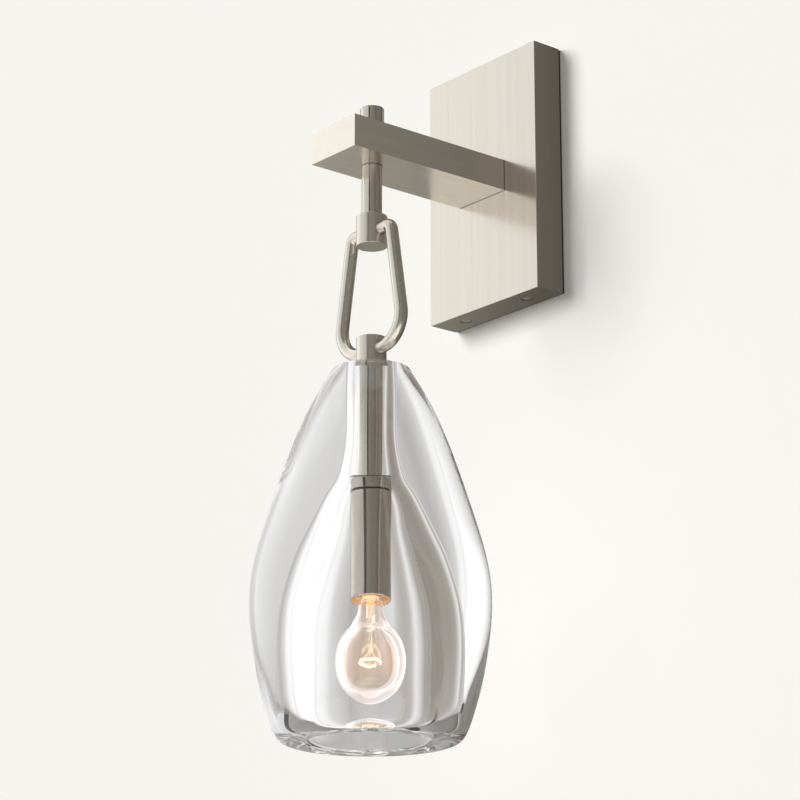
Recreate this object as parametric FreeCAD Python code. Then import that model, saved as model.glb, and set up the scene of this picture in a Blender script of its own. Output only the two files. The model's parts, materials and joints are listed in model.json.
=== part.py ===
import FreeCAD, Part
import math
import os

from FreeCAD import Vector

# Wall sconce: a thick clear glass shade hung from a box arm by a stirrup link.
# Millimetres, +Z up. The wall is the plane Y = 0 and the sconce stands out towards -Y.
# The origin is the middle of the two box screws that hold the mounting plate.

# Canopy, the box that covers the wiring, and the seal between it and the wall
canopy_width = 114.3
canopy_height = 184.2
canopy_depth = 23.6
canopy_wall = 2.5
canopy_edge_round = 0.4
seal_thick = 1.8
seal_inset = 0.5

# Mounting plate with its two bent tabs
plate_thick = 2.5
plate_side_room = 12.65
plate_end_gap = 0.3
plate_tab_room = 5.9
box_screw_spacing = 88.9
box_slot_width = 5.0
box_slot_length = 12.0
wire_hole_width = 22.0

# Two small screws that hold the canopy to the plate's lower tab
canopy_screw_from_tab_side = 9.3
canopy_screw_from_tab_edge = 3.7
canopy_screw_width = 4.0
canopy_screw_length = 8.0
canopy_screw_head_width = 7.4
canopy_screw_head_height = 1.3
canopy_screw_sink = 0.3
canopy_screw_recess_gap = 0.5
canopy_screw_key_width = 2.5
canopy_screw_key_depth = 0.9

# Earth screw on the mounting plate
earth_screw_width = 4.0
earth_screw_head_width = 8.0
earth_screw_head_height = 2.6
earth_screw_slot_width = 1.2
earth_screw_slot_depth = 1.0
earth_screw_x = 22.0
earth_screw_z = 30.0

# Arm, and the block and bolts that hold it to the canopy
arm_width = 48.1
arm_height = 23.1
arm_length = 135.3
arm_wall = 2.5
arm_edge_round = 0.3
root_block_length = 22.0
root_wire_hole_width = 9.0
arm_bolt_from_side = 8.05
arm_bolt_width = 5.0
arm_bolt_length = 16.0
arm_bolt_head_width = 8.5
arm_bolt_head_height = 5.0
arm_bolt_key_width = 4.0
arm_bolt_key_depth = 2.5
arm_washer_width = 10.0
arm_washer_thick = 1.2
grommet_bore = 6.0
grommet_lip = 1.2
grommet_lip_thick = 1.4

# Stem, cap, and the threaded pipe with its spacer inside the arm
stem_from_arm_end = 34.4
stem_width = 14.1
stem_length = 37.0
pipe_width = 10.2
pipe_bore = 6.8
pipe_grip = 11.0
cap_width = 16.7
cap_height = 19.5
cap_edge_round = 0.5
spacer_width = 15.0

# Upper block, stirrup link and lower block
upper_block_width = 21.5
upper_block_height = 21.7
block_edge_round = 0.35
stub_length = 9.0
link_drop = 85.2
link_rod_width = 9.0
link_rod_bore = 6.2
link_top_half_width = 20.8
link_foot_half_width = 35.5
link_top_bend = 5.5
link_foot_straight = 1.45
spigot_length = 16.0
spigot_bore = 4.4
lower_block_width = 20.6
lower_block_above_pin = 8.5
lower_block_below_pin = 17.3

# Neck bushing, neck tube, and the flange that the glass hangs on
bushing_height = 2.6
bushing_gap = 0.3
neck_tube_width = 14.8
neck_tube_length = 82.8
neck_tube_edge_round = 0.3
flange_width = 29.0
flange_thick = 6.0
flange_edge_round = 0.4
flange_seal_thick = 1.0
cup_gap = 1.2
cup_gap_washer_width = 25.0

# Socket cup, and the strap and nut that hold the lamp socket in it
cup_width = 28.0
cup_length = 60.2
cup_wall = 1.3
cup_edge_round = 0.35
strap_thick = 1.2
strap_width = 15.0
strap_leg_width = 8.0
strap_leg_length = 20.0
nut_flats = 15.0
nut_thick = 4.0
neck_pipe_show = 1.2
rivet_width = 2.4
rivet_depth = 3.0

# Lamp socket
socket_side_room = 2.3
socket_head_room = 4.5
socket_rise = 4.0
socket_lead_spread = 8.0
socket_lead_depth = 3.0
shell_gap = 0.3
shell_wall = 0.5
shell_inset = 0.8
contact_width = 4.4
contact_height = 1.3

# Glass shade
shade_width = 160.0
shade_height = 253.0
shade_overlap = 2.9
neck_bore_gap = 0.6
seat_gap = 0.4
cavity_width = 83.6
mouth_round = 1.2

# Radius and depth down the outside of the shade, as shares of its half width and its height
shade_outer_shares = (
    (0.328, 0.0), (0.494, 0.093), (0.64, 0.198), (0.768, 0.313), (0.892, 0.437),
    (0.986, 0.563), (0.995, 0.6775), (0.956, 0.776), (0.905, 0.8585), (0.853, 0.917),
    (0.801, 0.9645), (0.741, 0.9925), (0.675, 1.0),
)
# The bore: how far down to the seat it stays straight, then its flare, as shares from bore to seat
bore_straight_share = 0.588
bore_flare_shares = ((0.275, 0.804), (0.6, 0.917))
# Radius and depth down the cavity, as shares from the seat out to the cavity's width and down to the foot
cavity_shares = (
    (0.104, 0.041), (0.398, 0.174), (0.647, 0.278), (0.822, 0.369),
    (0.918, 0.441), (0.978, 0.533), (1.0, 0.684), (1.0, 0.927),
)

# Bulb: envelope, base and its contact
bulb_width = 47.0
bulb_height = 64.3
bulb_wall = 0.8
bulb_neck_gap = 0.25
bulb_base_tuck = 3.0
base_show = 2.5
base_width = 11.7
base_wall = 0.3
base_length = 14.0
base_tip_width = 8.0
base_insulator_height = 3.0
tip_contact_width = 5.0
tip_contact_height = 1.4
# Where the ball ends, as a share of its radius, and the shoulder's places from there to the base:
# the share of the narrowing that is left, and of the height
bulb_ball_end_share = 0.687
bulb_shoulder_shares = ((0.525, 0.357), (0.304, 0.623), (0.219, 0.862))

# Glass mount inside the bulb, with its rod, supports and filament
mount_tube_width = 5.6
mount_wall = 0.7
mount_flare_height = 4.0
mount_length = 23.3
pinch_width = 6.4
pinch_thick = 2.6
pinch_height = 6.5
rod_width = 2.0
rod_length = 13.0
rod_button_width = 3.2
support_width = 0.35
filament_width = 0.5
filament_below_rod = 6.6
filament_drop = 1.2
filament_reach = 7.0
filament_loops = 4
lead_in_spread = 4.0

# Insulated leads inside the sconce, and the connectors behind the canopy
lead_width = 1.8
lead_gap = 0.6
lead_room = 0.5
lead_bend = 4.5
lead_bar_bend = 2.2
lead_end_gap = 0.3
connector_width = 11.0
connector_tip_width = 8.0
connector_length = 18.0
connector_grip = 8.0
connector_spacing = 16.0
connector_drop = 30.0
earth_lead_x = 32.0

# Clearances that the fits share, and how far a cut runs past a face
turning_gap = 0.06
slip_gap = 0.1
cut_over = 5.0

# Sizes, levels and places that follow from the sizes above
canopy_back = -seal_thick
canopy_front = canopy_back - canopy_depth
canopy_inside = canopy_front + canopy_wall
plate_width = canopy_width - 2 * canopy_wall - 2 * plate_side_room
plate_tab_reach = -canopy_inside - plate_tab_room
tab_foot = -canopy_height / 2 + canopy_wall + plate_end_gap
canopy_screw_spacing = plate_width - 2 * canopy_screw_from_tab_side
canopy_screw_y = canopy_screw_from_tab_edge - plate_tab_reach
connector_y = (canopy_inside - plate_thick) / 2
arm_front = canopy_front - arm_length
arm_top = arm_height / 2
arm_underside = -arm_height / 2
arm_roof = arm_top - arm_wall
arm_floor = arm_underside + arm_wall
arm_bolt_spacing = arm_width - 2 * arm_bolt_from_side
stem_y = arm_front + stem_from_arm_end
upper_block_top = arm_underside - stem_length
upper_block_foot = upper_block_top - upper_block_height
upper_pin_z = upper_block_top - upper_block_height / 2
lower_pin_z = upper_pin_z - link_drop
lower_block_top = lower_pin_z + lower_block_above_pin
lower_block_foot = lower_pin_z - lower_block_below_pin
link_lean = math.atan((link_foot_half_width - link_top_half_width) / link_drop)
link_foot_bar = lower_block_width / 2 + link_foot_straight
link_foot_bend = (link_foot_half_width - link_foot_bar) / math.tan(math.pi / 4 + link_lean / 2)
neck_tube_top = lower_block_foot - bushing_height
flange_top = neck_tube_top - neck_tube_length
flange_foot = flange_top - flange_thick
cup_top = flange_foot - cup_gap
cup_ceiling = cup_top - cup_wall
cup_foot = cup_top - cup_length
strap_foot = cup_ceiling - strap_thick
nut_foot = strap_foot - nut_thick
neck_pipe_foot = nut_foot - neck_pipe_show
socket_width = cup_width - 2 * cup_wall - 2 * socket_side_room
socket_top = neck_pipe_foot - socket_head_room
socket_foot = cup_foot + socket_rise
rivet_level = socket_top - strap_leg_length / 4
shell_bore = base_width + 2 * shell_gap
base_foot = socket_foot - base_show
base_top = base_foot + base_length
insulator_top = base_top + base_insulator_height
contact_foot = insulator_top + tip_contact_height
bulb_neck_radius = base_width / 2 - base_wall - bulb_neck_gap
bulb_glass_top = base_foot + bulb_base_tuck
bulb_tip = bulb_glass_top - bulb_height
bulb_centre = bulb_tip + bulb_width / 2
mount_foot = bulb_glass_top - mount_length
rod_foot = mount_foot - rod_length
filament_top = rod_foot - filament_below_rod
filament_foot = filament_top - filament_drop
shade_top = lower_block_foot + shade_overlap
shade_foot = shade_top - shade_height
bore_radius = lower_block_width / 2 + neck_bore_gap
seat_radius = flange_width / 2 + seat_gap
lead_spread = lead_width + lead_gap
lead_pair_room = lead_spread + lead_width + 2 * lead_room
rod_bore_radius = link_rod_width / 2 + turning_gap
pipe_hole_radius = pipe_width / 2 + slip_gap


def on_axis(x, z):
    """A point at x and z in the plane of the link, which holds the stem's axis."""
    return Vector(x, stem_y, z)


def box(x_low, x_high, y_low, y_high, z_low, z_high):
    return Part.makeBox(x_high - x_low, y_high - y_low, z_high - z_low, Vector(x_low, y_low, z_low))


def stem_bar(width, z_low, z_high):
    """A round bar on the stem's axis."""
    return Part.makeCylinder(width / 2, z_high - z_low, on_axis(0, z_low))


def stem_ring(width, bore, z_low, z_high):
    return stem_bar(width, z_low, z_high).cut(stem_bar(bore, z_low - cut_over, z_high + cut_over))


def wall_bar(x, z, width, y_back, length):
    """A round bar square to the wall, from y_back out into the room."""
    return Part.makeCylinder(width / 2, length, Vector(x, y_back, z), Vector(0, -1, 0))


def cross_bar(width, z, half_length):
    """A round bar along X through the stem's axis."""
    return Part.makeCylinder(width / 2, 2 * half_length, on_axis(-half_length, z), Vector(1, 0, 0))


def rounded_rims(shape, radius, z_levels):
    """Round the full circles of a turned piece that lie at the given levels."""
    rims = [edge for edge in shape.Edges if edge.Closed and isinstance(edge.Curve, Part.Circle)]
    tolerance = radius / 4
    chosen = [edge for edge in rims if any(abs(edge.CenterOfMass.z - z) < tolerance for z in z_levels)]
    widest = max(edge.Curve.Radius for edge in chosen)
    return shape.makeFillet(radius, [edge for edge in chosen if edge.Curve.Radius > widest - tolerance])


def hex_bar(flats, start, direction, length):
    """A six-sided bar from the point start along a direction."""
    side = Vector(1, 0, 0)
    corners = []
    for step in range(7):
        turn = FreeCAD.Rotation(direction, 60 * step)
        corners.append(start + turn.multVec(side) * (flats / math.sqrt(3)))
    return Part.Face(Part.makePolygon(corners)).extrude(direction * length)


def bent_path(points, radii):
    """Straight runs through the points, joined at each inner point by a tangent arc of its radius."""
    edges = []
    start = points[0]
    for before, corner, after, radius in zip(points, points[1:], points[2:], radii):
        run_in = (corner - before).normalize()
        run_out = (after - corner).normalize()
        half_turn = run_in.getAngle(run_out) / 2
        tangent = radius * math.tan(half_turn)
        arc_start = corner - run_in * tangent
        arc_end = corner + run_out * tangent
        inward = (run_out - run_in).normalize()
        middle = corner + inward * (radius / math.cos(half_turn) - radius)
        edges.append(Part.LineSegment(start, arc_start).toShape())
        edges.append(Part.Arc(arc_start, middle, arc_end).toShape())
        start = arc_end
    edges.append(Part.LineSegment(start, points[-1]).toShape())
    return Part.Wire(edges)


def swept(points, radii, width):
    """A round rod of the given width along a bent path."""
    path = bent_path(points, radii)
    direction = points[1] - points[0]
    ring = Part.Wire(Part.makeCircle(width / 2, points[0], direction))
    return path.makePipeShell([ring], True, False)


def turned(edges):
    """The solid that a closed outline of edges beside the stem's axis sweeps round that axis."""
    face = Part.Face(Part.Wire(Part.__sortEdges__(edges)))
    return face.revolve(on_axis(0, 0), Vector(0, 0, 1), 360)


def line(start, end):
    return Part.LineSegment(on_axis(*start), on_axis(*end)).toShape()


def smooth(places, first_direction, last_direction):
    """A smooth curve through places (radius, z) beside the stem's axis."""
    curve = Part.BSplineCurve()
    points = [on_axis(radius, z) for radius, z in places]
    first = Vector(first_direction[0], 0, first_direction[1])
    last = Vector(last_direction[0], 0, last_direction[1])
    curve.interpolate(Points=points, InitialTangent=first, FinalTangent=last)
    return curve.toShape()


# Wall end: canopy, seal, mounting plate and their screws

def canopy():
    half_width = canopy_width / 2
    half_height = canopy_height / 2
    outside = box(-half_width, half_width, canopy_front, canopy_back, -half_height, half_height)
    front_edges = [edge for edge in outside.Edges if edge.CenterOfMass.y < canopy_back - canopy_edge_round]
    outside = outside.makeFillet(canopy_edge_round, front_edges)
    hollow = box(
        canopy_wall - half_width, half_width - canopy_wall,
        canopy_inside, canopy_back + cut_over,
        canopy_wall - half_height, half_height - canopy_wall,
    )
    shell = outside.cut(hollow)
    hole_back = canopy_inside + cut_over
    hole_length = canopy_wall + 2 * cut_over
    shell = shell.cut(wall_bar(0, 0, root_wire_hole_width, hole_back, hole_length))
    for x in (-arm_bolt_spacing / 2, arm_bolt_spacing / 2):
        shell = shell.cut(wall_bar(x, 0, arm_bolt_width + 2 * slip_gap, hole_back, hole_length))
    for x in (-canopy_screw_spacing / 2, canopy_screw_spacing / 2):
        foot = Vector(x, canopy_screw_y, -half_height - cut_over)
        recess_radius = canopy_screw_head_width / 2 + canopy_screw_recess_gap
        recess_depth = canopy_screw_sink + canopy_screw_head_height
        shell = shell.cut(Part.makeCylinder(recess_radius, cut_over + recess_depth, foot))
        hole_radius = canopy_screw_width / 2 + slip_gap
        shell = shell.cut(Part.makeCylinder(hole_radius, 2 * cut_over + canopy_wall, foot))
    return shell


def wall_seal():
    half_width = canopy_width / 2 - seal_inset
    half_height = canopy_height / 2 - seal_inset
    hole_half_width = canopy_width / 2 - canopy_wall
    hole_half_height = canopy_height / 2 - canopy_wall
    strip = box(-half_width, half_width, -seal_thick, 0, -half_height, half_height)
    hole = box(
        -hole_half_width, hole_half_width, -seal_thick - cut_over, cut_over,
        -hole_half_height, hole_half_height,
    )
    return strip.cut(hole)


def mounting_plate():
    half_width = plate_width / 2
    plate = box(-half_width, half_width, -plate_thick, 0, tab_foot, -tab_foot)
    lower_tab = box(-half_width, half_width, -plate_tab_reach, 0, tab_foot, tab_foot + plate_thick)
    upper_tab = box(-half_width, half_width, -plate_tab_reach, 0, -tab_foot - plate_thick, -tab_foot)
    plate = plate.fuse([lower_tab, upper_tab]).removeSplitter()
    hole_length = plate_thick + 2 * cut_over
    plate = plate.cut(wall_bar(0, 0, wire_hole_width, cut_over, hole_length))
    slot_run = (box_slot_length - box_slot_width) / 2
    for middle in (-box_screw_spacing / 2, box_screw_spacing / 2):
        slot = box(
            -box_slot_width / 2, box_slot_width / 2, -plate_thick - cut_over, cut_over,
            middle - slot_run, middle + slot_run,
        )
        plate = plate.cut(slot)
        for end in (middle - slot_run, middle + slot_run):
            plate = plate.cut(wall_bar(0, end, box_slot_width, cut_over, hole_length))
    for x in (-canopy_screw_spacing / 2, canopy_screw_spacing / 2):
        foot = Vector(x, canopy_screw_y, tab_foot - cut_over)
        hole_radius = canopy_screw_width / 2 + slip_gap
        plate = plate.cut(Part.makeCylinder(hole_radius, hole_length, foot))
    earth_hole_width = earth_screw_width + 2 * slip_gap
    return plate.cut(wall_bar(earth_screw_x, earth_screw_z, earth_hole_width, cut_over, hole_length))


def canopy_screws():
    screws = []
    head_foot = -canopy_height / 2 + canopy_screw_sink
    for x in (-canopy_screw_spacing / 2, canopy_screw_spacing / 2):
        foot = Vector(x, canopy_screw_y, head_foot)
        head = Part.makeCylinder(canopy_screw_head_width / 2, canopy_screw_head_height, foot)
        shank = Part.makeCylinder(canopy_screw_width / 2, canopy_screw_length, foot)
        key = hex_bar(canopy_screw_key_width, foot, Vector(0, 0, 1), canopy_screw_key_depth)
        screws.append(head.fuse(shank).removeSplitter().cut(key))
    return Part.makeCompound(screws)


def earth_screw():
    x = earth_screw_x
    z = earth_screw_z
    head_front = -plate_thick - earth_screw_head_height
    head = wall_bar(x, z, earth_screw_head_width, -plate_thick, earth_screw_head_height)
    shank = wall_bar(x, z, earth_screw_width, 0, -head_front)
    half_slot = earth_screw_slot_width / 2
    slot = box(
        x - earth_screw_head_width, x + earth_screw_head_width,
        head_front - cut_over, head_front + earth_screw_slot_depth,
        z - half_slot, z + half_slot,
    )
    return head.fuse(shank).removeSplitter().cut(slot)


# Arm and what it holds

def arm():
    half_width = arm_width / 2
    outside = box(-half_width, half_width, arm_front, canopy_front, arm_underside, arm_top)
    kept_edges = [edge for edge in outside.Edges if edge.CenterOfMass.y < canopy_front - arm_edge_round]
    outside = outside.makeFillet(arm_edge_round, kept_edges)
    hollow = box(
        arm_wall - half_width, half_width - arm_wall, arm_front + arm_wall, canopy_front + cut_over,
        arm_floor, arm_roof,
    )
    pipe_hole = stem_bar(2 * pipe_hole_radius, arm_underside - cut_over, arm_top + cut_over)
    return outside.cut(hollow).cut(pipe_hole)


def arm_root_block():
    half_width = arm_width / 2 - arm_wall - slip_gap
    block = box(
        -half_width, half_width, canopy_front - root_block_length, canopy_front,
        arm_floor + slip_gap, arm_roof - slip_gap,
    )
    hole_back = canopy_front + cut_over
    block = block.cut(wall_bar(0, 0, root_wire_hole_width, hole_back, root_block_length + 2 * cut_over))
    hole_depth = arm_bolt_length - canopy_wall - arm_washer_thick + slip_gap
    for x in (-arm_bolt_spacing / 2, arm_bolt_spacing / 2):
        block = block.cut(wall_bar(x, 0, arm_bolt_width + 2 * slip_gap, hole_back, hole_depth + cut_over))
    return block


def arm_washers():
    washers = []
    washer_back = canopy_inside + arm_washer_thick
    hole_width = arm_bolt_width + 2 * slip_gap
    hole_length = arm_washer_thick + 2 * cut_over
    for x in (-arm_bolt_spacing / 2, arm_bolt_spacing / 2):
        disc = wall_bar(x, 0, arm_washer_width, washer_back, arm_washer_thick)
        washers.append(disc.cut(wall_bar(x, 0, hole_width, washer_back + cut_over, hole_length)))
    return Part.makeCompound(washers)


def arm_bolts():
    bolts = []
    head_foot = canopy_inside + arm_washer_thick
    head_back = head_foot + arm_bolt_head_height
    for x in (-arm_bolt_spacing / 2, arm_bolt_spacing / 2):
        head = wall_bar(x, 0, arm_bolt_head_width, head_back, arm_bolt_head_height)
        shank = wall_bar(x, 0, arm_bolt_width, head_foot, arm_bolt_length)
        key = hex_bar(arm_bolt_key_width, Vector(x, head_back, 0), Vector(0, -1, 0), arm_bolt_key_depth)
        bolts.append(head.fuse(shank).cut(key))
    return Part.makeCompound(bolts)


def lead_grommet():
    """A rubber bush in the canopy's front wall and the first of the root block's hole."""
    body_width = root_wire_hole_width - 2 * slip_gap
    lip_width = root_wire_hole_width + 2 * grommet_lip
    lip_back = canopy_inside + grommet_lip_thick
    body = wall_bar(0, 0, body_width, canopy_inside, canopy_wall + root_block_length / 4)
    lip = wall_bar(0, 0, lip_width, lip_back, grommet_lip_thick)
    bore = wall_bar(0, 0, grommet_bore, lip_back + cut_over, root_block_length + 2 * cut_over)
    return body.fuse(lip).cut(bore)


def lead_window():
    """The side window that lets the leads turn down into the pipe."""
    half_room = lead_pair_room / 2
    return box(-half_room, half_room, stem_y, stem_y + spacer_width, -half_room, half_room)


def pipe_spacer():
    return stem_ring(spacer_width, 2 * pipe_hole_radius, arm_floor, arm_roof).cut(lead_window())


def stem_pipe():
    return stem_ring(pipe_width, pipe_bore, arm_underside - pipe_grip, arm_top + pipe_grip).cut(lead_window())


def stem_cap():
    cap_top = arm_top + cap_height
    cap = rounded_rims(stem_bar(cap_width, arm_top, cap_top), cap_edge_round, (cap_top,))
    return cap.cut(stem_bar(2 * pipe_hole_radius, arm_top - cut_over, arm_top + pipe_grip + slip_gap))


def stem_tube():
    return stem_ring(stem_width, 2 * pipe_hole_radius, upper_block_top, arm_underside)


# Upper block, link and lower block

def upper_block():
    body = stem_bar(upper_block_width, upper_block_foot, upper_block_top)
    body = rounded_rims(body, block_edge_round, (upper_block_foot, upper_block_top))
    body = body.fuse(stem_bar(pipe_width, upper_pin_z, upper_block_top + stub_length))
    body = body.cut(stem_bar(lead_pair_room, upper_pin_z, upper_block_top + stub_length + cut_over))
    return body.cut(cross_bar(2 * rod_bore_radius, upper_pin_z, upper_block_width))


def lower_block():
    body = stem_bar(lower_block_width, lower_block_foot, lower_block_top)
    body = rounded_rims(body, block_edge_round, (lower_block_foot, lower_block_top))
    body = body.fuse(stem_bar(pipe_width, neck_tube_top - stub_length, lower_pin_z))
    body = body.cut(stem_bar(lead_pair_room, neck_tube_top - stub_length - cut_over, lower_pin_z))
    return body.cut(cross_bar(2 * rod_bore_radius, lower_pin_z, lower_block_width))


def link_half_path(side, start_x):
    """The centre line of one half of the link, from the top bar to the bottom bar."""
    return [
        on_axis(side * start_x, upper_pin_z),
        on_axis(side * link_top_half_width, upper_pin_z),
        on_axis(side * link_foot_half_width, lower_pin_z),
        on_axis(side * start_x, lower_pin_z),
    ]


def link_windows():
    """Holes for the leads at the middle of the top bar and of the bottom bar."""
    top_window = stem_bar(lead_pair_room, upper_pin_z, upper_pin_z + link_rod_width)
    foot_window = stem_bar(lead_pair_room, lower_pin_z - link_rod_width, lower_pin_z)
    return [top_window, foot_window]


def link_half(side):
    path = link_half_path(side, 0)
    radii = [link_top_bend, link_foot_bend]
    tube = swept(path, radii, link_rod_width).cut(swept(path, radii, link_rod_bore))
    return tube.cut(link_windows())


def link_spigot(z):
    """The sleeve that joins the two halves of the link inside a block."""
    outside = cross_bar(link_rod_bore - 2 * turning_gap, z, spigot_length / 2)
    return outside.cut(cross_bar(spigot_bore, z, spigot_length)).cut(link_windows())


def link_leads():
    leads = []
    top_end = upper_pin_z + link_rod_width / 2 - lead_end_gap
    foot_end = lower_pin_z - link_rod_width / 2 + lead_end_gap
    radii = [lead_bar_bend, link_top_bend, link_foot_bend, lead_bar_bend]
    for side in (-1, 1):
        inner_x = side * lead_spread / 2
        path = link_half_path(side, lead_spread / 2)
        points = [on_axis(inner_x, top_end)] + path + [on_axis(inner_x, foot_end)]
        leads.append(swept(points, radii, lead_width))
    return Part.makeCompound(leads)


# Neck, flange and socket cup

def neck_bushing():
    return stem_ring(2 * (bore_radius - bushing_gap), 2 * pipe_hole_radius, neck_tube_top, lower_block_foot)


def neck_tube():
    tube = stem_bar(neck_tube_width, flange_top, neck_tube_top)
    tube = rounded_rims(tube, neck_tube_edge_round, (neck_tube_top,))
    return tube.cut(stem_bar(2 * pipe_hole_radius, flange_top - cut_over, neck_tube_top + cut_over))


def flange():
    disc = stem_bar(flange_width, flange_foot, flange_top)
    disc = rounded_rims(disc, flange_edge_round, (flange_foot, flange_top))
    return disc.cut(stem_bar(2 * pipe_hole_radius, flange_foot - cut_over, flange_top + cut_over))


def flange_seal():
    """A soft ring on the flange, tapered to the flare of the bore that rests on it."""
    flare_width_share, flare_depth_share = bore_flare_shares[-1]
    flare_rise = (shade_top - flange_top) * (1 - flare_depth_share)
    flare_narrowing = (seat_radius - bore_radius) * (1 - flare_width_share)
    foot_radius = seat_radius - slip_gap
    top_radius = foot_radius - flange_seal_thick * flare_narrowing / flare_rise
    ring = Part.makeCone(foot_radius, top_radius, flange_seal_thick, on_axis(0, flange_top))
    return ring.cut(stem_bar(neck_tube_width + 2 * slip_gap, flange_top - cut_over, flange_top + cut_over))


def cup_gap_washer():
    return stem_ring(cup_gap_washer_width, 2 * pipe_hole_radius, cup_top, flange_foot)


def neck_pipe():
    return stem_ring(pipe_width, pipe_bore, neck_pipe_foot, flange_top + pipe_grip)


def socket_cup():
    cup = stem_bar(cup_width, cup_foot, cup_top)
    cup = rounded_rims(cup, cup_edge_round, (cup_foot, cup_top))
    cup = cup.cut(stem_bar(cup_width - 2 * cup_wall, cup_foot - cut_over, cup_ceiling))
    return cup.cut(stem_bar(2 * pipe_hole_radius, cup_ceiling - cut_over, cup_top + cut_over))


def socket_strap():
    """A bent strap under the cup's ceiling, with two legs riveted to the socket."""
    leg_inside = socket_width / 2 + slip_gap
    leg_outside = leg_inside + strap_thick
    leg_foot = socket_top - strap_leg_length / 2
    half_width = strap_width / 2
    half_leg = strap_leg_width / 2
    strap = box(-leg_outside, leg_outside, stem_y - half_width, stem_y + half_width, strap_foot, cup_ceiling)
    strap = strap.common(stem_bar(cup_width - 2 * cup_wall - 2 * slip_gap, strap_foot, cup_ceiling))
    left_leg = box(-leg_outside, -leg_inside, stem_y - half_leg, stem_y + half_leg, leg_foot, cup_ceiling)
    right_leg = box(leg_inside, leg_outside, stem_y - half_leg, stem_y + half_leg, leg_foot, cup_ceiling)
    strap = strap.fuse([left_leg, right_leg]).removeSplitter()
    strap = strap.cut(stem_bar(2 * pipe_hole_radius, strap_foot - cut_over, cup_ceiling + cut_over))
    return strap.cut(cross_bar(rivet_width + 2 * slip_gap, rivet_level, cup_width))


def socket_rivets():
    rivets = []
    inner_x = socket_width / 2 - rivet_depth
    length = rivet_depth + slip_gap + strap_thick
    for side in (-1, 1):
        start = on_axis(side * inner_x, rivet_level)
        rivets.append(Part.makeCylinder(rivet_width / 2, length, start, Vector(side, 0, 0)))
    return Part.makeCompound(rivets)


def neck_nut():
    nut = hex_bar(nut_flats, on_axis(0, nut_foot), Vector(0, 0, 1), nut_thick)
    return nut.cut(stem_bar(2 * pipe_hole_radius, nut_foot - cut_over, strap_foot + cut_over))


# Lamp socket and bulb

def socket_body():
    body = stem_bar(socket_width, socket_foot, socket_top)
    shell_room = shell_bore + 2 * shell_wall + 2 * slip_gap
    body = body.cut(stem_bar(shell_room, socket_foot - cut_over, base_top))
    body = body.cut(stem_bar(base_tip_width + 2 * slip_gap, socket_foot, contact_foot))
    body = body.cut(stem_bar(contact_width + 2 * slip_gap, socket_foot, contact_foot + contact_height))
    rivet_radius = rivet_width / 2 + slip_gap
    lead_radius = lead_width / 2 + slip_gap
    for side in (-1, 1):
        start = on_axis(side * (socket_width / 2 - rivet_depth), rivet_level)
        rivet_hole = Part.makeCylinder(rivet_radius, rivet_depth + cut_over, start, Vector(side, 0, 0))
        lead_foot = on_axis(side * socket_lead_spread / 2, socket_top - socket_lead_depth - lead_end_gap)
        lead_hole = Part.makeCylinder(lead_radius, socket_lead_depth + cut_over, lead_foot)
        body = body.cut([rivet_hole, lead_hole])
    return body


def screw_shell():
    return stem_ring(shell_bore + 2 * shell_wall, shell_bore, socket_foot + shell_inset, base_top - slip_gap)


def centre_contact():
    return stem_bar(contact_width, contact_foot, contact_foot + contact_height)


def bulb_base():
    outside_radius = base_width / 2
    inside_radius = outside_radius - base_wall
    tip_radius = base_tip_width / 2
    outline = [
        (inside_radius, base_foot), (outside_radius, base_foot), (outside_radius, base_top),
        (tip_radius, base_top), (tip_radius, base_top - base_wall),
        (inside_radius, base_top - base_wall), (inside_radius, base_foot),
    ]
    return turned([line(start, end) for start, end in zip(outline, outline[1:])])


def base_insulator():
    low_radius = base_tip_width / 2 - slip_gap
    high_radius = tip_contact_width / 2
    height = insulator_top - (base_top - base_wall)
    return Part.makeCone(low_radius, high_radius, height, on_axis(0, base_top - base_wall))


def tip_contact():
    return stem_bar(tip_contact_width, insulator_top, contact_foot)


def bulb_outline(inset):
    """The curve of the envelope from its tip to its neck, moved in by a wall where asked."""
    radius = bulb_width / 2 - inset
    neck_radius = bulb_neck_radius - inset
    angle = math.acos(bulb_ball_end_share)
    end_radius = radius * math.cos(angle)
    end_z = bulb_centre + radius * math.sin(angle)
    tip = on_axis(0, bulb_centre - radius)
    ball = Part.Arc(tip, on_axis(radius, bulb_centre), on_axis(end_radius, end_z)).toShape()
    shoulder = [(end_radius, end_z)]
    for width_share, height_share in bulb_shoulder_shares:
        place_radius = neck_radius + (end_radius - neck_radius) * width_share
        shoulder.append((place_radius, end_z + (base_foot - end_z) * height_share))
    shoulder.append((neck_radius, base_foot))
    leaving = (-math.sin(angle), math.cos(angle))
    neck = line((neck_radius, base_foot), (neck_radius, bulb_glass_top))
    return [ball, smooth(shoulder, leaving, (0, 1)), neck]


def bulb_glass():
    outside = bulb_outline(0)
    inside = bulb_outline(bulb_wall)
    rim = line((bulb_neck_radius - bulb_wall, bulb_glass_top), (bulb_neck_radius, bulb_glass_top))
    foot = line((0, bulb_tip), (0, bulb_tip + bulb_wall))
    return turned(outside + inside + [rim, foot])


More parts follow.
